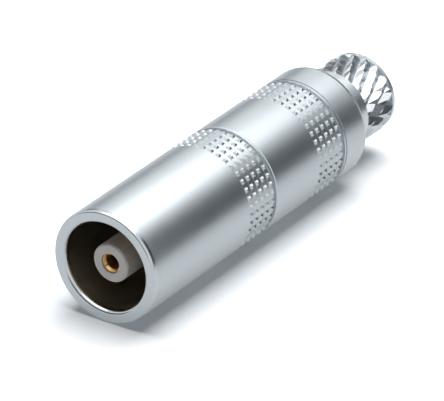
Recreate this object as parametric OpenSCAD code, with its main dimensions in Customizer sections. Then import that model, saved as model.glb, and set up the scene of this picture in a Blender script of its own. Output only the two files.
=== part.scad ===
// Circular coaxial socket for a cable, standing on its cable end with the mouth up.
// Every piece is drawn from the mouth down the axis, and from_mouth() turns it over
// so that the cable end is at z = 0 and the axis out of the mouth is +Z.

/* [Shell] */
// Outer diameter of the front shell and of the nut behind it
body_d = 6.4; // [5.8:0.05:8]
// Length of the front shell, from the mouth to its joint with the nut
shell_l = 11.45; // [10.4:0.05:13]
// Wall round the bore that takes the plug
mouth_wall = 0.7; // [0.6:0.02:0.9]
// Depth of the bore that takes the plug
mating_l = 7.6; // [6.5:0.1:8.6]
// Width of the rounded lead-in at the mouth
lead_w = 0.22; // [0.06:0.02:0.3]
// Length of the rounded lead-in at the mouth
lead_l = 0.3; // [0.1:0.02:0.4]
// Width of the rounding round the outside of the mouth
rim_w = 0.12; // [0.06:0.02:0.24]
// Length of the rounding round the outside of the mouth
rim_l = 0.16; // [0.1:0.02:0.4]
// Wall round the rear seat, where the insert and the nut go in
seat_wall = 0.35; // [0.3:0.01:0.45]

/* [Latch groove] */
// Distance of the latch groove from the mouth
latch_at = 4.9; // [4.4:0.1:5.4]
// Width of the latch groove
latch_w = 0.7; // [0.4:0.1:0.9]
// Depth of the latch groove below the bore
latch_depth = 0.2; // [0.1:0.02:0.26]

/* [Knurled bands] */
// Number of points round each knurled band
knurl_around = 40; // [24:1:48]
// Number of rows along each knurled band
knurl_rows = 5; // [3:1:5]
// Distance from one row to the next
knurl_pitch = 0.5; // [0.4:0.02:0.52]
// Width of each point at its foot
knurl_foot = 0.28; // [0.2:0.02:0.36]
// Width of the flat tip of each point
knurl_tip = 0.08; // [0.02:0.02:0.14]
// Height of the points above the floor of the band
knurl_depth = 0.1; // [0.06:0.01:0.12]
// Height of the points above the plain metal
knurl_rise = 0.01; // [0:0.01:0.06]
// Plain metal between the front band and the rear end of the shell
front_band_gap = 0.12; // [0.1:0.01:0.3]
// Angle of a point of the front band
front_band_turn = 8.5; // [0:0.5:9]
// Angle of a point of the band on the nut
nut_band_turn = 8.5; // [0:0.5:9]

/* [Nut] */
// Length of the nut that shows behind the shell
nut_l = 8.75; // [8.4:0.05:10]
// Wall of the threaded end of the nut inside the shell
spigot_wall = 0.22; // [0.16:0.01:0.3]
// Width of the shoulder in the nut that holds the collar of the stub
shoulder_w = 0.2; // [0.12:0.01:0.3]
// Length of the narrow opening at the rear of the nut
nut_mouth_l = 2.6; // [1.6:0.1:3]
// Distance of the knurled band from the rear end of the nut
nut_band_from_rear = 2.23; // [2.1:0.01:3]
// Distance of the turned line from the knurled band
line_gap = 0.13; // [0.1:0.01:0.3]
// Width of the turned line
line_w = 0.1; // [0.06:0.01:0.16]
// Depth of the turned line
line_depth = 0.04; // [0.03:0.01:0.1]
// Chamfer at the two edges that meet between the shell and the nut
joint_chamfer = 0.05; // [0.02:0.01:0.08]
// Width of the rounding at the rear of the nut
nut_rear_w = 0.2; // [0.05:0.01:0.3]
// Length of the rounding at the rear of the nut
nut_rear_l = 0.3; // [0.1:0.02:0.4]

/* [Insulators] */
// Diameter of the nose that stands in the mouth
nose_d = 2.18; // [2:0.02:2.6]
// Distance of the end of the nose behind the mouth
nose_back = 0.55; // [0.3:0.05:1]
// Edge of the nose that is taken off
nose_chamfer = 0.08; // [0.04:0.01:0.14]
// Thickness of the flange of the front insulator
front_flange_t = 0.5; // [0.4:0.05:0.8]
// Thickness of the flange of the rear insulator
rear_flange_t = 0.4; // [0.3:0.05:0.6]
// Length of the rear insulator behind its flange
rear_boss_l = 2.2; // [1.5:0.1:3]

/* [Contact] */
// Bore of the contact
contact_bore_d = 0.84; // [0.7:0.01:1]
// Wall of the contact round its bore
contact_wall = 0.115; // [0.1:0.005:0.14]
// Depth of the bore of the contact
contact_bore_l = 4.2; // [3:0.1:5]
// Distance of the tip of the contact behind the mouth
contact_back = 0.65; // [0.6:0.05:1.1]
// Length of the slits that make the contact springy
slit_l = 2.6; // [1.5:0.1:2.9]
// Width of those slits
slit_w = 0.05; // [0.04:0.01:0.12]
// Angle of the first slit
slit_turn = 38; // [0:1:89]
// Width of the cone that leads the pin into the contact
contact_lead_w = 0.08; // [0.02:0.01:0.08]
// Length of that cone
contact_lead_l = 0.15; // [0.05:0.01:0.3]
// Diameter of the collar that holds the contact
contact_collar_d = 1.7; // [1.5:0.05:2]
// Thickness of that collar
contact_collar_t = 0.45; // [0.3:0.05:0.5]
// Outer diameter of the crimp barrel of the contact
barrel_d = 1.2; // [1:0.05:1.3]
// Bore of the crimp barrel
barrel_bore_d = 0.7; // [0.5:0.05:0.8]
// Length of the crimp barrel behind the collar
barrel_l = 4; // [3:0.1:5]
// Depth of the bore of the crimp barrel
barrel_bore_l = 2.2; // [1.5:0.1:2.6]
// Diameter of the hole that shows the wire in the barrel
sight_d = 0.36; // [0.3:0.02:0.4]

/* [Earthing crown] */
// Thickness of the flange of the crown
crown_flange_t = 0.25; // [0.2:0.05:0.4]
// Thickness of the fingers of the crown
crown_wall = 0.14; // [0.1:0.01:0.18]
// Length of the fingers in front of the flange
crown_finger_l = 1.8; // [1.2:0.1:2.6]
// Number of fingers
crown_fingers = 8; // [4:2:12]
// Gap between two fingers
crown_slit_w = 0.25; // [0.15:0.01:0.35]
// How far each finger bulges inwards near its tip
crown_bulge = 0.1; // [0.04:0.01:0.14]
// How far the flange of the crown and the retaining ring reach in from the bore
crown_lip_w = 0.3; // [0.2:0.02:0.5]
// Thickness of the retaining ring behind the crown
ring_t = 0.35; // [0.25:0.05:0.5]

/* [Insert carrier] */
// Thickness of the wall of the two half shells
carrier_wall = 0.45; // [0.35:0.05:0.5]
// Width of the lip at the rear of the half shells
carrier_lip_w = 0.45; // [0.3:0.01:0.7]
// Thickness of that lip
carrier_lip_t = 0.6; // [0.4:0.05:0.8]
// Width of the window in each half shell
window_w = 1.8; // [1.2:0.1:2.2]
// Length of the window in each half shell
window_l = 2; // [1.5:0.1:2.2]

/* [Crimp stub] */
// Thickness of the collar that the nut holds
collar_t = 1; // [0.8:0.05:1.2]
// Length of the stub that shows behind the nut
stub_l = 4.3; // [3.9:0.05:5]
// Height of the knurl on the stub above its smooth neck
diamond_rise = 0.05; // [0.02:0.01:0.06]
// How much is turned off the ridges of that knurl
diamond_flat = 0.04; // [0.02:0.01:0.08]
// Depth of the deep grooves between the ridges
diamond_depth = 0.25; // [0.12:0.01:0.26]
// Depth of the crossing cuts that part each ridge into diamonds
diamond_cut = 0.08; // [0.06:0.01:0.16]
// Number of diamonds round the stub
diamond_around = 18; // [12:1:22]
// Angle of a pit of the first row of diamonds
diamond_turn = 11.5; // [0:0.5:20]
// Half the length of one diamond
diamond_pitch = 0.82; // [0.7:0.01:0.9]
// Length of the diamond knurl
diamond_l = 2.46; // [1.8:0.02:2.6]
// How far the plain ring at the end lies below the knurl
end_ring_drop = 0.06; // [0.02:0.01:0.12]
// Length of the slope at each end of the knurl
diamond_slope = 0.12; // [0.05:0.01:0.3]
// Length of the plain ring at the end of the stub
end_ring_l = 0.36; // [0.3:0.02:0.6]
// Chamfer at the end of the stub
end_chamfer = 0.14; // [0.05:0.01:0.2]
// Wall of the stub, from the smooth neck to the bore for the cable
stub_wall = 0.8; // [0.5:0.05:1.1]

/* [Clearances] */
// Gap all round the insert in the seat of the shell
insert_gap = 0.04; // [0.02:0.01:0.06]
// Gap all round the thread between the nut and the shell
thread_gap = 0.03; // [0.02:0.01:0.05]
// Gap all round the contact in its insulators
contact_gap = 0.04; // [0.03:0.005:0.06]
// Gap all round the half shells and the collar in the nut
carrier_gap = 0.03; // [0.02:0.01:0.05]
// Gap all round the fingers of the crown in the bore
crown_gap = 0.03; // [0.02:0.01:0.05]
// Gap between the insulators and the threaded end of the nut
stack_gap = 0.15; // [0.05:0.01:0.3]
// Gap all round the neck of the stub in the rear of the nut
neck_gap = 0.1; // [0.07:0.01:0.15]

/* [Hidden] */
$fn = 96;

// How far a cut runs past the face that it opens
past = 0.5;
// How much lower the turned floor of a knurl is than the flats cut into it
floor_extra = 0.01;
// Turn from one step of a rounded edge to the next
round_step = 15;
// Radii that several pieces share
body_r = body_d / 2;
point_r = body_r + knurl_rise;
floor_r = point_r - knurl_depth;
mating_r = body_r - mouth_wall;
seat_r = body_r - seat_wall;
insert_r = seat_r - insert_gap;
spigot_r = seat_r - thread_gap;
nut_bore_r = spigot_r - spigot_wall;
nut_mouth_r = nut_bore_r - shoulder_w;
neck_r = nut_mouth_r - neck_gap;
diamond_r = neck_r + diamond_rise;
carrier_r = nut_bore_r - carrier_gap;
carrier_inner_r = carrier_r - carrier_wall;
carrier_lip_r = carrier_inner_r - carrier_lip_w;
crown_inner_r = mating_r - crown_lip_w;
crown_r = mating_r - crown_gap;
contact_bore_r = contact_bore_d / 2;
contact_r = contact_bore_r + contact_wall;
contact_hole_r = contact_r + contact_gap;

// Stations along the axis, measured from the mouth
band_l = knurl_rows * knurl_pitch;
front_band_at = shell_l - front_band_gap - band_l;
ring_at = mating_l + crown_flange_t;
front_flange_at = ring_at + ring_t;
rear_flange_at = front_flange_at + front_flange_t;
carrier_at = rear_flange_at + rear_flange_t;
spigot_at = carrier_at + stack_gap;
nut_end = shell_l + nut_l;
nut_band_at = nut_end - nut_band_from_rear - band_l;
line_at = nut_band_at + band_l + line_gap;
shoulder_at = nut_end - nut_mouth_l;
collar_at = shoulder_at - collar_t;
total_l = nut_end + stub_l;
ring_start = total_l - end_ring_l;
diamond_at = ring_start - diamond_l;

function polar(r, a, z) = [r * cos(a), r * sin(a), z];

// Rounded edge from an end face to a wall
function rounded(face_r, wall_r, face_at, wall_at) = [
    for (a = [0 : round_step : 90])
        [face_r + (wall_r - face_r) * sin(a), face_at + (wall_at - face_at) * (1 - cos(a))]
];

function reversed(list) = [for (k = [len(list) - 1 : -1 : 0]) list[k]];

// Turned outline of one band: a flat-topped ridge for each row, above a lower floor
function band_outline(at) = let (low = floor_r - floor_extra) concat(
    [[low, at]],
    [
        for (k = [0.5 : knurl_rows]) each
            let (middle = at + k * knurl_pitch)
            [[low, middle - knurl_foot / 2], [point_r, middle - knurl_tip / 2],
                [point_r, middle + knurl_tip / 2], [low, middle + knurl_foot / 2]]
    ],
    [[low, at + band_l]]);

module from_mouth() {
    translate([0, 0, total_l]) mirror([0, 0, 1]) children();
}

// What is cut away along the axis to leave the points of a band
module straight_grooves(at, turn) {
    foot = asin(knurl_foot / 2 / floor_r);
    tip = asin(knurl_tip / 2 / point_r);
    translate([0, 0, at]) rotate([0, 0, turn]) linear_extrude(band_l) difference() {
        circle(r = body_r + past);
        polygon([
            for (k = [0 : knurl_around - 1])
                let (a = k * 360 / knurl_around)
                for (c = [[floor_r, a - foot], [point_r, a - tip], [point_r, a + tip], [floor_r, a + foot]])
                    [c[0] * cos(c[1]), c[0] * sin(c[1])]
        ]);
    }
}

module tube(outer_r, inner_r, at, length) {
    translate([0, 0, at]) difference() {
        cylinder(r = outer_r, h = length);
        translate([0, 0, -past]) cylinder(r = inner_r, h = length + 2 * past);
    }
}

module front_shell() {
    outline = concat(
        rounded(body_r - rim_w, body_r, 0, rim_l),
        [[body_r, front_band_at]],
        band_outline(front_band_at),
        [[body_r, front_band_at + band_l], [body_r, shell_l - joint_chamfer],
            [body_r - joint_chamfer, shell_l], [seat_r, shell_l], [seat_r, mating_l],
            [mating_r, mating_l], [mating_r, latch_at + latch_w],
            [mating_r + latch_depth, latch_at + latch_w], [mating_r + latch_depth, latch_at],
            [mating_r, latch_at]],
        reversed(rounded(mating_r + lead_w, mating_r, 0, lead_l)));
    color("silver") from_mouth() difference() {
        rotate_extrude() polygon(outline);
        straight_grooves(front_band_at, front_band_turn);
    }
}

// A flange that the shoulder of the shell stops, and springy fingers in the bore
module earthing_crown() {
    inner = crown_r - crown_wall;
    tip = mating_l - crown_finger_l;
    outline = [[crown_r, tip], [crown_r, mating_l], [insert_r, mating_l], [insert_r, ring_at],
        [crown_inner_r, ring_at], [crown_inner_r, mating_l], [inner, mating_l],
        [inner, tip + crown_finger_l / 2], [inner - crown_bulge, tip + crown_finger_l / 4],
        [inner, tip]];
    color("goldenrod") from_mouth() difference() {
        rotate_extrude() polygon(outline);
        for (k = [0 : crown_fingers / 2 - 1])
            rotate([0, 0, k * 360 / crown_fingers])
                translate([-body_r, -crown_slit_w / 2, tip - past])
                    cube([body_d, crown_slit_w, crown_finger_l + past]);
    }
}

module retaining_ring() {
    color("silver") from_mouth() tube(insert_r, crown_inner_r, ring_at, ring_t);
}

module front_insulator() {
    nose_r = nose_d / 2;
    outline = [[contact_hole_r, nose_back], [nose_r - nose_chamfer, nose_back],
        [nose_r, nose_back + nose_chamfer], [nose_r, front_flange_at], [insert_r, front_flange_at],
        [insert_r, rear_flange_at], [contact_hole_r, rear_flange_at]];
    color("white") from_mouth() rotate_extrude() polygon(outline);
}

module rear_insulator() {
    barrel_hole_r = barrel_d / 2 + contact_gap;
    pocket_r = contact_collar_d / 2 + contact_gap;
    pocket_end = rear_flange_at + contact_collar_t;
    boss_r = carrier_inner_r - insert_gap;
    boss_end = carrier_at + rear_boss_l;
    outline = [[pocket_r, rear_flange_at], [insert_r, rear_flange_at], [insert_r, carrier_at],
        [boss_r, carrier_at], [boss_r, boss_end], [barrel_hole_r, boss_end],
        [barrel_hole_r, pocket_end], [pocket_r, pocket_end]];
    color("white") from_mouth() rotate_extrude() polygon(outline);
}

// Turned gilt socket: slit tip, collar between the insulators, crimp barrel behind
module female_contact() {
    collar_end = rear_flange_at + contact_collar_t;
    barrel_end = collar_end + barrel_l;
    bore_start = barrel_end - barrel_bore_l;
    color("gold") from_mouth() difference() {
        union() {
            translate([0, 0, contact_back]) cylinder(r = contact_r, h = rear_flange_at - contact_back);
            translate([0, 0, rear_flange_at]) cylinder(d = contact_collar_d, h = contact_collar_t);
            translate([0, 0, collar_end]) cylinder(d = barrel_d, h = barrel_l);
        }
        translate([0, 0, contact_back - past]) cylinder(r = contact_bore_r, h = contact_bore_l + past);
        translate([0, 0, contact_back])
            cylinder(r1 = contact_bore_r + contact_lead_w, r2 = contact_bore_r, h = contact_lead_l);
        translate([0, 0, bore_start]) cylinder(d = barrel_bore_d, h = barrel_bore_l + past);
        translate([0, 0, bore_start + sight_d]) rotate([90, 0, 0]) cylinder(d = sight_d, h = barrel_d);
        for (a = [slit_turn, slit_turn + 90])
            rotate([0, 0, a])
                translate([-2 * contact_r, -slit_w / 2, contact_back - past])
                    cube([4 * contact_r, slit_w, slit_l + past]);
    }
}

// One of the two half shells that carry the push of the stub to the insulators
module carrier_half(side) {
    length = collar_at - carrier_at;
    boss_end = carrier_at + rear_boss_l;
    window_at = (boss_end + collar_at - carrier_lip_t - window_l) / 2;
    outline = [[carrier_inner_r, carrier_at], [carrier_r, carrier_at], [carrier_r, collar_at],
        [carrier_lip_r, collar_at], [carrier_lip_r, collar_at - carrier_lip_t],
        [carrier_inner_r, collar_at - carrier_lip_t]];
    from_mouth() difference() {
        rotate_extrude() polygon(outline);
        translate([-body_r, side > 0 ? -body_d : 0, carrier_at - past])
            cube([body_d, body_d, length + 2 * past]);
        translate([-window_w / 2, side > 0 ? 0 : -body_r, window_at]) cube([window_w, body_r, window_l]);
    }
}

module carrier_half_a() {
    color("silver") carrier_half(1);
}

module carrier_half_b() {
    color("silver") carrier_half(-1);
}

module rear_nut() {
    outline = concat(
        [[nut_bore_r, spigot_at], [spigot_r, spigot_at], [spigot_r, shell_l],
            [body_r - joint_chamfer, shell_l], [body_r, shell_l + joint_chamfer],
            [body_r, nut_band_at]],
        band_outline(nut_band_at),
        [[body_r, nut_band_at + band_l], [body_r, line_at], [body_r - line_depth, line_at],
            [body_r - line_depth, line_at + line_w], [body_r, line_at + line_w]],
        reversed(rounded(body_r - nut_rear_w, body_r, nut_end, nut_end - nut_rear_l)),
        [[nut_mouth_r, nut_end], [nut_mouth_r, shoulder_at], [nut_bore_r, shoulder_at]]);
    color("silver") from_mouth() difference() {
        rotate_extrude() polygon(outline);
        straight_grooves(nut_band_at, nut_band_turn);
    }
}

// Ridges along one diagonal with deep grooves between them, and shallow cuts along the other
// diagonal, as one closed skin before the ridges are turned down. Corners of the grid are pits
// and points in turn, and a cell with its two points along a ridge has its cut in the middle.
module diamond_skin() {
    columns = 2 * diamond_around;
    lines = ceil(diamond_l / diamond_pitch) + 1;
    point = diamond_r + diamond_flat;
    pit = diamond_r - diamond_depth;
    start = diamond_at - diamond_pitch / 2;
    function grid(r, j, i) = polar(r, diamond_turn + i * 360 / columns, start + j * diamond_pitch);
    points = concat(
        [for (j = [0 : lines], i = [0 : columns - 1]) grid((i + j) % 2 == 0 ? pit : point, j, i)],
        [for (j = [0 : lines - 1], i = [0 : columns - 1]) grid(point - diamond_cut, j + 0.5, i + 0.5)]);
    function at(j, i) = j * columns + i % columns;
    function middle(j, i) = (lines + 1 + j) * columns + i;
    faces = concat(
        [[for (i = [0 : columns - 1]) at(0, i)]],
        [[for (i = [columns - 1 : -1 : 0]) at(lines, i)]],
        [
            for (j = [0 : lines - 1], i = [0 : columns - 1]) each
                (i + j) % 2 == 0
                    ? [[at(j, i), at(j + 1, i), at(j + 1, i + 1)], [at(j, i), at(j + 1, i + 1), at(j, i + 1)]]
                    : let (corners = [at(j, i), at(j + 1, i), at(j + 1, i + 1), at(j, i + 1)])
                        [for (k = [0 : 3]) [corners[k], corners[(k + 1) % 4], middle(j, i)]]
        ]);
    polyhedron(points, faces);
}

module crimp_stub() {
    collar_r = nut_bore_r - carrier_gap;
    core_r = diamond_r - diamond_depth - floor_extra;
    ring_r = diamond_r - end_ring_drop;
    blank = [[0, diamond_at], [neck_r, diamond_at], [diamond_r, diamond_at + diamond_slope],
        [diamond_r, ring_start - diamond_slope], [ring_r, ring_start], [0, ring_start]];
    outline = [[0, collar_at], [collar_r, collar_at], [collar_r, shoulder_at],
        [neck_r, shoulder_at], [neck_r, diamond_at], [core_r, diamond_at], [core_r, ring_start],
        [ring_r, ring_start], [ring_r, total_l - end_chamfer], [ring_r - end_chamfer, total_l],
        [0, total_l]];
    color("silver") from_mouth() difference() {
        union() {
            rotate_extrude() polygon(outline);
            intersection() {
                diamond_skin();
                rotate_extrude() polygon(blank);
            }
        }
        translate([0, 0, collar_at - past])
            cylinder(r = neck_r - stub_wall, h = total_l - collar_at + 2 * past);
    }
}

front_shell();
earthing_crown();
retaining_ring();
front_insulator();
rear_insulator();
female_contact();
carrier_half_a();
carrier_half_b();
rear_nut();
crimp_stub();
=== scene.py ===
import bpy
from math import cos, pi, radians, sin
from mathutils import Matrix, Vector


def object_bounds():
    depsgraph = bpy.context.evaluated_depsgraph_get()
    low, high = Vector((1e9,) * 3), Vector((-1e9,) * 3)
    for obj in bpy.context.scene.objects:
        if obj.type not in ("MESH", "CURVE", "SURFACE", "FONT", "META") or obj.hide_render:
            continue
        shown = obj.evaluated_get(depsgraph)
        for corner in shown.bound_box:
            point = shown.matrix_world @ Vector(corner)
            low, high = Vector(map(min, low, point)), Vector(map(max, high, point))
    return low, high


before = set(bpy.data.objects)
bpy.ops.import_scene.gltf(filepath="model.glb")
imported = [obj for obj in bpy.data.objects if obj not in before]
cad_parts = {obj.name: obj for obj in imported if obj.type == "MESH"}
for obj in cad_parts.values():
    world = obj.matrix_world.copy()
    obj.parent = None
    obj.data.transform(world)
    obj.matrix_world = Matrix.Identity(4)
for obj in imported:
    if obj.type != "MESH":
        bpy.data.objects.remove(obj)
CAD_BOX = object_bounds()

bl_info = {
    "name": "Coaxial socket finishes",
    "version": (1, 0, 0),
    "blender": (4, 5, 0),
    "location": "View3D > Sidebar > Socket",
    "description": "Plating, insulator and gilding for a coaxial cable socket, and its studio",
    "category": "Object",
}

# metres in a millimetre and in a micrometre
MM = 0.001
MICRON = MM * MM

# height of the mouth's face in the frame, in metres
MOUTH = CAD_BOX[1].z

# radius of the bore in the mouth, and the width over which its plate, browner and painted darker
# as shade, gives way to the outside's, in millimetres
BORE_RADIUS, BORE_EDGE = 2.5, 0.04

# how far below the mouth's face the burnished edge starts and is full, in millimetres
BURNISH_START, BURNISH_FULL = 0.4, 0.25
BURNISHED_ROUGHNESS = 0.2

# The table touches the points of the knurled bands, and to the camera it fades into the white
# room between two distances from the socket. These and the lamps are in millimetres.
TABLE_LEVEL = -CAD_BOX[1].x / MM
TABLE_HALF = 400
TABLE_FADE_START, TABLE_FADE_END = 60, 110
SOFTBOX_SIZE, SOFTBOX_CENTRE = (205, 140), (37, 10, 120)
KEY_SIZE, KEY_CENTRE = (200, 200), (64, 12, 200)

# width of the camera's sensor in millimetres, and the reach of its view in metres
SENSOR_WIDTH = 36
NEAREST_SEEN, FURTHEST_SEEN = 0.01, 10

# The socket stands on its cable end, but the camera sees it as it would lie on a table.
# The columns are the table's directions: from the mouth to the cable end, across, and up.
LYING = Matrix(((0, 1, 0), (0, 0, -1), (-1, 0, 0)))


def lying(along, across, up):
    """A point in the frame, from its millimetres on the table, counted from the mouth's centre."""
    return Vector((0, 0, MOUTH)) + LYING @ Vector((along, across, up)) * MM


def linear(hex_colour):
    """An sRGB hex colour as the linear red, green and blue that the shaders take."""
    parts = [int(hex_colour[i:i + 2], 16) / 255 for i in (1, 3, 5)]
    return [p / 12.92 if p <= 0.04045 else ((p + 0.055) / 1.055) ** 2.4 for p in parts]


def colour(name, text, hex_colour):
    """A property that holds a colour, given as sRGB hex."""
    return bpy.props.FloatVectorProperty(
        name=name, description=text, subtype="COLOR", min=0, max=1, default=linear(hex_colour))


def length(name, text, millimetres):
    """A property that holds a length, given in millimetres."""
    return bpy.props.FloatProperty(
        name=name, description=text, subtype="DISTANCE", unit="LENGTH", default=millimetres * MM)


def angle(name, text, degrees):
    """A property that holds an angle, given in degrees."""
    return bpy.props.FloatProperty(
        name=name, description=text, subtype="ANGLE", unit="ROTATION", default=radians(degrees))


def amount(name, text, value):
    """A property that holds a share or a strength."""
    return bpy.props.FloatProperty(name=name, description=text, min=0, default=value)


class FinishSettings(bpy.types.PropertyGroup):
    """Colours and roughness of each finish"""
    chrome: colour("Chrome", "Satin chrome plate on the shell and the nut", "#c1c8cc")
    chrome_roughness: amount("Chrome roughness", "Roughness of the satin chrome plate", 0.33)
    # painted shade: the bore is browner for its thin plate and darker to stand for the shade inside
    # the mouth
    bore: colour("Bore", "Thin, dulled plate inside the mouth", "#bdb3a0")
    nickel: colour("Nickel", "Bright nickel plate on the crimp stub", "#cdd3d7")
    nickel_roughness: amount("Nickel roughness", "Roughness of the bright nickel plate", 0.27)
    insulator: colour("Insulator", "Turned fluoropolymer of the two insulators", "#dcd7d3")
    gilding: colour("Gilding", "Gold plate on the contact", "#e6c388")
    bronze: colour("Bronze", "Nickelled bronze of the earthing crown", "#b3ab9b")
    turning_pitch: length("Turning pitch", "Distance between the marks of the turning tool", 0.09)


class StudioSettings(bpy.types.PropertyGroup):
    """Camera, softbox and cards round the lying socket"""
    yaw: angle("Yaw", "Angle on the table between the axis and the view", 34.16)
    pitch: angle("Pitch", "Angle of the view above the table", 28.02)
    distance: length("Distance", "From the camera to the mouth along the view", 309.02)
    aim_right: length("Aim right", "Centre of the picture to the right of the mouth", 6.114)
    aim_up: length("Aim up", "Centre of the picture above the mouth", 3.489)
    lens: bpy.props.FloatProperty(
        name="Lens", description="Focal length for a 36 mm sensor, in millimetres", default=482.9)
    softbox: amount("Softbox", "Brightness of the softbox above the table", 2.2)
    key: amount("Key", "Brightness of the lamp straight above, for matt surfaces only", 4.17)
    fill: amount("Fill", "Brightness of the room for matt surfaces", 0.11)
    white: colour("White", "Table top", "#f1f4f7")
    glare: amount("Glare", "How far past white the camera sees the lit table", 0.55)
    sheen: amount("Sheen", "Share of plain white in what the metal sees of the table", 0.38)
    dark: colour("Dark card", "Cards on the near side and past both ends of the socket", "#3b4147")
    grey: colour("Grey card", "Cards on the far side, seen along the shell's upper edge", "#8d9499")


def finishes():
    """The scene's finish settings."""
    return bpy.context.scene.socket_finishes


def studio():
    """The scene's studio settings."""
    return bpy.context.scene.socket_studio


def feed(tree, node, inputs):
    """Sets a node's inputs, or links them where the value comes out of another node."""
    for name, value in inputs.items():
        if isinstance(value, bpy.types.NodeSocket):
            tree.links.new(value, node.inputs[name])
        else:
            node.inputs[name].default_value = value


def add_node(tree, kind, inputs=None, **settings):
    """Adds a node, gives it its settings, and feeds its inputs."""
    node = tree.nodes.new(kind)
    for name, value in settings.items():
        setattr(node, name, value)
    feed(tree, node, inputs or {})
    return node


def new_material(name):
    """A node material that holds only a Principled shader and its output."""
    material = bpy.data.materials.new(name)
    material.use_nodes = True
    return material, material.node_tree, material.node_tree.nodes["Principled BSDF"]


def rgba(rgb):
    """A colour with the full alpha that sockets take."""
    return (*rgb, 1)


def place(tree):
    """Place in the frame, in millimetres."""
    here = add_node(tree, "ShaderNodeNewGeometry").outputs["Position"]
    return add_node(tree, "ShaderNodeVectorMath", {
        0: here, 3: 1 / MM}, operation="SCALE").outputs[0]


def patchy(tree, point, per_mm, detail, low, high):
    """A value that wanders between two ends, with so many patches to the millimetre."""
    patches = add_node(tree, "ShaderNodeTexNoise", {
        "Vector": point, "Scale": per_mm, "Detail": detail}).outputs[0]
    return add_node(tree, "ShaderNodeMapRange", {
        "Value": patches, "To Min": low, "To Max": high}).outputs[0]


def turning_marks(tree, point, height_um):
    """Rings that a lathe tool leaves: height changes along the axis only, so they run round it."""
    pitch = finishes().turning_pitch / MM
    along = add_node(tree, "ShaderNodeSeparateXYZ", {0: point}).outputs["Z"]
    station = add_node(tree, "ShaderNodeMath", {0: along, 1: pitch}, operation="DIVIDE").outputs[0]
    marks = add_node(tree, "ShaderNodeTexNoise", {"W": station, "Scale": 1, "Detail": 2},
                     noise_dimensions="1D").outputs[0]
    return add_node(tree, "ShaderNodeBump", {
        "Strength": 1, "Distance": height_um * MICRON, "Height": marks}).outputs[0]


def burnished_mouth(tree, point, roughness):
    """Roughness that drops at the edge of the mouth, which shows a sharper picture of the room."""
    along = add_node(tree, "ShaderNodeSeparateXYZ", {0: point}).outputs["Z"]
    burnish = add_node(tree, "ShaderNodeMapRange", {
        "Value": along, "From Min": MOUTH / MM - BURNISH_START,
        "From Max": MOUTH / MM - BURNISH_FULL}).outputs[0]
    return add_node(tree, "ShaderNodeMix", {
        "Factor": burnish, 2: roughness, 3: BURNISHED_ROUGHNESS}).outputs[0]


def plate_and_shade_by_radius(tree, point, inside, outside):
    """One colour within the bore of the mouth and another outside it; the darker one inside is
    painted shade.
    """
    across = add_node(tree, "ShaderNodeVectorMath", {
        0: point, 1: (1, 1, 0)}, operation="MULTIPLY").outputs[0]
    radius = add_node(tree, "ShaderNodeVectorMath", {
        0: across}, operation="LENGTH").outputs["Value"]
    beyond = add_node(tree, "ShaderNodeMapRange", {
        "Value": radius, "From Min": BORE_RADIUS, "From Max": BORE_RADIUS + BORE_EDGE}).outputs[0]
    return add_node(tree, "ShaderNodeMix", {
        "Factor": beyond, 6: rgba(inside), 7: rgba(outside)}, data_type="RGBA").outputs[2]


def satin_chrome():
    """Hard chrome on turned brass: cool, blurred reflections that stretch along the axis."""
    s = finishes()
    material, tree, shader = new_material("satin_chrome_plate")
    point = place(tree)
    # the plate's bloom is uneven over about a millimetre
    bloom = patchy(tree, point, per_mm=1.1, detail=3,
                   low=s.chrome_roughness - 0.03, high=s.chrome_roughness + 0.03)
    feed(tree, shader, {
        "Roughness": burnished_mouth(tree, point, bloom),
        "Normal": turning_marks(tree, point, height_um=0.4),
        # little plate is thrown into the mouth, so its bore is browner; it is also darker, as
        # painted shade inside the mouth
        "Base Color": plate_and_shade_by_radius(tree, point, s.bore, s.chrome),
        "Metallic": 1, "Anisotropic": 0.35})
    return material


def bright_nickel():
    """Nickel on turned brass with no matting: a little warmer than chrome, clearer reflections."""
    s = finishes()
    material, tree, shader = new_material("bright_nickel_plate")
    point = place(tree)
    # handling dulls it in patches of about 0.4 mm
    wear = patchy(tree, point, per_mm=2.5, detail=4,
                  low=s.nickel_roughness - 0.03, high=s.nickel_roughness + 0.05)
    feed(tree, shader, {
        "Roughness": wear, "Normal": turning_marks(tree, point, height_um=0.25),
        "Base Color": rgba(s.nickel), "Metallic": 1})
    return material


def turned_fluoropolymer():
    """Turned PTFE: a waxy white that lets a little light in, dull, with faint tool rings."""
    material, tree, shader = new_material("turned_fluoropolymer")
    point = place(tree)
    # the cut surface is smeared in patches of about 0.3 mm
    smear = patchy(tree, point, per_mm=3, detail=3, low=0.42, high=0.56)
    feed(tree, shader, {
        "Roughness": smear, "Normal": turning_marks(tree, point, height_um=1.2),
        "Base Color": rgba(finishes().insulator), "IOR": 1.35, "Subsurface Weight": 0.5,
        "Subsurface Radius": (1, 0.9, 0.8), "Subsurface Scale": 0.6 * MM})
    return material


def gold_plate():
    """Gold over turned brass: warm, fairly clear reflections."""
    material, tree, shader = new_material("gold_plate")
    # the plug's pin polishes it in fine patches, six to the millimetre
    polish = patchy(tree, place(tree), per_mm=6, detail=3, low=0.3, high=0.4)
    feed(tree, shader, {
        "Roughness": polish, "Base Color": rgba(finishes().gilding), "Metallic": 1})
    return material


def nickelled_bronze():
    """Sprung bronze under thin nickel: dull grey with some of the bronze showing."""
    material, tree, shader = new_material("nickelled_bronze")
    # tarnish comes through the plate in patches of about half a millimetre
    tarnish = patchy(tree, place(tree), per_mm=2, detail=4, low=0.3, high=0.45)
    feed(tree, shader, {
        "Roughness": tarnish, "Base Color": rgba(finishes().bronze), "Metallic": 1})
    return material


def dress(material, *nodes):
    """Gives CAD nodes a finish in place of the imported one."""
    for node in nodes:
        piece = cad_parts[node]
        piece.data.materials.clear()
        piece.data.materials.append(material)


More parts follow.
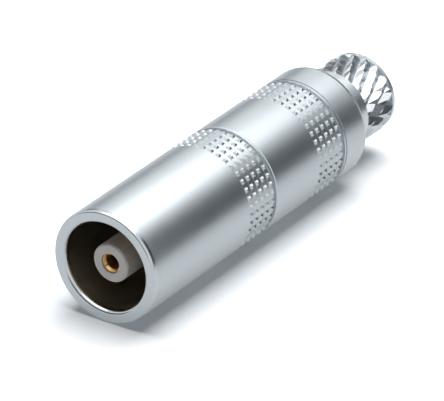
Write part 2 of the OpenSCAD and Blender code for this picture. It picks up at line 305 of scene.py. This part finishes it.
class SOCKET_OT_shell_and_nut(bpy.types.Operator):
    """Satin chrome for the front shell and the nut behind it"""
    bl_idname = "socket.shell_and_nut"
    bl_label = "Shell and nut"

    def execute(self, context):
        dress(satin_chrome(), "front_shell", "rear_nut")
        return {"FINISHED"}


class SOCKET_OT_stub(bpy.types.Operator):
    """Bright nickel for the crimp stub and the pieces that push on the insulators"""
    bl_idname = "socket.stub"
    bl_label = "Crimp stub and carrier"

    def execute(self, context):
        dress(bright_nickel(), "crimp_stub", "carrier_half_a", "carrier_half_b", "retaining_ring")
        return {"FINISHED"}


class SOCKET_OT_insulators(bpy.types.Operator):
    """Turned white fluoropolymer for the two insulators"""
    bl_idname = "socket.insulators"
    bl_label = "Insulators"

    def execute(self, context):
        dress(turned_fluoropolymer(), "front_insulator", "rear_insulator")
        return {"FINISHED"}


class SOCKET_OT_contact(bpy.types.Operator):
    """Gold plate for the contact"""
    bl_idname = "socket.contact"
    bl_label = "Contact"

    def execute(self, context):
        dress(gold_plate(), "female_contact")
        return {"FINISHED"}


class SOCKET_OT_crown(bpy.types.Operator):
    """Nickelled bronze for the earthing crown"""
    bl_idname = "socket.crown"
    bl_label = "Earthing crown"

    def execute(self, context):
        dress(nickelled_bronze(), "earthing_crown")
        return {"FINISHED"}


def card(name, corners, material):
    """A flat stage piece with its corners in millimetres on the table."""
    mesh = bpy.data.meshes.new(name)
    mesh.from_pydata([lying(*c) for c in corners], [], [(0, 1, 2, 3)])
    mesh.materials.append(material)
    piece = bpy.data.objects.new(name, mesh)
    bpy.context.scene.collection.objects.link(piece)
    return piece


def upright(foot, other_foot, height):
    """Corners of a card that stands on the table between two feet, given along and across."""
    return [(*foot, TABLE_LEVEL), (*other_foot, TABLE_LEVEL),
            (*other_foot, height), (*foot, height)]


def table_material():
    """Matt white table top: past white to the camera, paler in the metal, clear from below."""
    s = studio()
    material, tree, _ = new_material("matt_white_table")
    path = add_node(tree, "ShaderNodeLightPath")
    # past white to the camera, so that only the deep shade of the socket shows
    glare = add_node(tree, "ShaderNodeMapRange", {
        "Value": path.outputs["Is Camera Ray"], "To Min": 1, "To Max": 1 + s.glare}).outputs[0]
    white = add_node(tree, "ShaderNodeVectorMath", {
        0: s.white, 3: glare}, operation="SCALE").outputs[0]
    matt = add_node(tree, "ShaderNodeBsdfDiffuse", {"Color": white}).outputs[0]
    sheen = add_node(tree, "ShaderNodeMath", {
        0: path.outputs["Is Glossy Ray"], 1: s.sheen}, operation="MULTIPLY").outputs[0]
    # away from the socket the camera sees plain white, so that the table runs into the room
    reach = add_node(tree, "ShaderNodeVectorMath", {
        0: place(tree)}, operation="LENGTH").outputs["Value"]
    away = add_node(tree, "ShaderNodeMapRange", {
        "Value": reach, "From Min": TABLE_FADE_START, "From Max": TABLE_FADE_END}).outputs[0]
    lost = add_node(tree, "ShaderNodeMath", {
        0: path.outputs["Is Camera Ray"], 1: away}, operation="MULTIPLY").outputs[0]
    plain = add_node(tree, "ShaderNodeMath", {0: sheen, 1: lost}, operation="MAXIMUM").outputs[0]
    glow = add_node(tree, "ShaderNodeEmission", {"Color": (1, 1, 1, 1), "Strength": 1}).outputs[0]
    top = add_node(tree, "ShaderNodeMixShader", {0: plain, 1: matt, 2: glow}).outputs[0]
    below = add_node(tree, "ShaderNodeNewGeometry").outputs["Backfacing"]
    clear = add_node(tree, "ShaderNodeBsdfTransparent").outputs[0]
    one_sided = add_node(tree, "ShaderNodeMixShader", {0: below, 1: top, 2: clear}).outputs[0]
    feed(tree, tree.nodes["Material Output"], {"Surface": one_sided})
    return material


def card_material(name, rgb):
    """A flat card that shows in the metal at its own colour, however the lamps are set."""
    material, tree, _ = new_material(name)
    glow = add_node(tree, "ShaderNodeEmission", {"Color": rgba(rgb), "Strength": 1}).outputs[0]
    feed(tree, tree.nodes["Material Output"], {"Surface": glow})
    return material


def room():
    """A white room: strength 1 to the camera and in the metal, less as a fill on matt surfaces."""
    world = bpy.data.worlds.new("white_room")
    bpy.context.scene.world = world
    world.use_nodes = True
    tree = world.node_tree
    path = add_node(tree, "ShaderNodeLightPath").outputs
    shown = path["Is Camera Ray"]
    for ray in ("Is Glossy Ray", "Is Transmission Ray"):
        shown = add_node(tree, "ShaderNodeMath", {
            0: shown, 1: path[ray]}, operation="MAXIMUM").outputs[0]
    # what a matt surface gets by way of the metal counts as fill too
    shown = add_node(tree, "ShaderNodeMath", {
        0: shown, 1: path["Diffuse Depth"]}, operation="SUBTRACT", use_clamp=True).outputs[0]
    strength = add_node(tree, "ShaderNodeMapRange", {
        "Value": shown, "To Min": studio().fill, "To Max": 1}).outputs[0]
    feed(tree, tree.nodes["Background"], {"Color": (1, 1, 1, 1), "Strength": strength})


def softbox(name, size, brightness, centre):
    """An area lamp that shines straight down; its brightness is that of the white it shows."""
    lamp = bpy.data.lights.new(name, "AREA")
    lamp.shape = "RECTANGLE"
    lamp.size, lamp.size_y = [side * MM for side in size]
    lamp.energy = brightness * pi * lamp.size * lamp.size_y
    piece = bpy.data.objects.new(name, lamp)
    bpy.context.scene.collection.objects.link(piece)
    piece.visible_camera = False
    piece.matrix_world = Matrix.Translation(lying(*centre)) @ LYING.to_4x4()
    return piece


class SOCKET_OT_stage(bpy.types.Operator):
    """Table, cards, softbox, room and camera, placed as if the socket lay on the table"""
    bl_idname = "socket.stage"
    bl_label = "Stage"

    def execute(self, context):
        s = studio()
        self.table()
        self.cards(s)
        self.lamps(s)
        room()
        self.camera(s)
        context.scene.view_settings.view_transform = "Standard"
        return {"FINISHED"}

    def table(self):
        # anticlockwise as the camera sees it, so that the top faces the socket
        corners = [(along * TABLE_HALF, across * TABLE_HALF, TABLE_LEVEL)
                   for along, across in ((-1, 1), (-1, -1), (1, -1), (1, 1))]
        card("table_top", corners, table_material())

    def cards(self, s):
        """Cards that only show in the metal; the slanted end of the near one faces the mouth."""
        dark = card_material("dark_card", s.dark)
        grey = card_material("grey_card", s.grey)
        pieces = (
            card("near_card", [(17, -30, TABLE_LEVEL), (64, -30, TABLE_LEVEL),
                               (64, -30, 33), (28, -30, 33)], dark),
            card("far_card", upright((60, 120), (220, 120), 55), grey),
            card("front_card", upright((-80, -60), (-80, 150), 58), dark),
            card("tail_card", upright((250, -120), (250, 120), 90), dark),
            card("back_card", [(158, -100, 118), (158, 90, 118),
                               (300, 90, 118), (300, -100, 118)], grey),
        )
        for piece in pieces:
            piece.visible_camera = False
            piece.visible_diffuse = False
            piece.visible_shadow = False

    def lamps(self, s):
        """The softbox shows in the metal only, and the key lights matt surfaces only."""
        shown = softbox("overhead_softbox", SOFTBOX_SIZE, s.softbox, SOFTBOX_CENTRE)
        shown.visible_diffuse = False
        key = softbox("overhead_key", KEY_SIZE, s.key, KEY_CENTRE)
        key.visible_glossy = False

    def camera(self, s):
        """The view's own directions are worked out on the table and then turned into the frame."""
        out = Vector((-cos(s.pitch) * cos(s.yaw), -cos(s.pitch) * sin(s.yaw), sin(s.pitch)))
        right = Vector((sin(s.yaw), -cos(s.yaw), 0))
        up = out.cross(right)
        turn = LYING @ Matrix((right, up, out)).transposed()
        lens = bpy.data.cameras.new("camera")
        lens.sensor_width = SENSOR_WIDTH
        lens.lens = s.lens
        lens.clip_start, lens.clip_end = NEAREST_SEEN, FURTHEST_SEEN
        camera = bpy.data.objects.new("camera", lens)
        bpy.context.scene.collection.objects.link(camera)
        camera.matrix_world = turn.to_4x4()
        camera.location = lying(0, 0, 0) + turn @ Vector((s.aim_right, s.aim_up, s.distance))
        bpy.context.scene.camera = camera


class SOCKET_PT_panel(bpy.types.Panel):
    """Lists the socket's finishes and its stage"""
    bl_idname = "SOCKET_PT_panel"
    bl_label = "Coaxial socket"
    bl_space_type = "VIEW_3D"
    bl_region_type = "UI"
    bl_category = "Socket"

    def draw(self, context):
        for operator in OPERATORS:
            self.layout.operator(operator.bl_idname)
        for group in (finishes(), studio()):
            box = self.layout.box()
            for name in group.__annotations__:
                box.prop(group, name)


OPERATORS = (SOCKET_OT_shell_and_nut, SOCKET_OT_stub, SOCKET_OT_insulators, SOCKET_OT_contact,
             SOCKET_OT_crown, SOCKET_OT_stage)
CLASSES = (FinishSettings, StudioSettings, *OPERATORS, SOCKET_PT_panel)


def register():
    for cls in CLASSES:
        bpy.utils.register_class(cls)
    bpy.types.Scene.socket_finishes = bpy.props.PointerProperty(type=FinishSettings)
    bpy.types.Scene.socket_studio = bpy.props.PointerProperty(type=StudioSettings)


def unregister():
    del bpy.types.Scene.socket_studio
    del bpy.types.Scene.socket_finishes
    for cls in reversed(CLASSES):
        bpy.utils.unregister_class(cls)


def main():
    register()
    bpy.ops.socket.shell_and_nut()
    bpy.ops.socket.stub()
    bpy.ops.socket.insulators()
    bpy.ops.socket.contact()
    bpy.ops.socket.crown()
    bpy.ops.socket.stage()


if __name__ == "__main__":
    main()
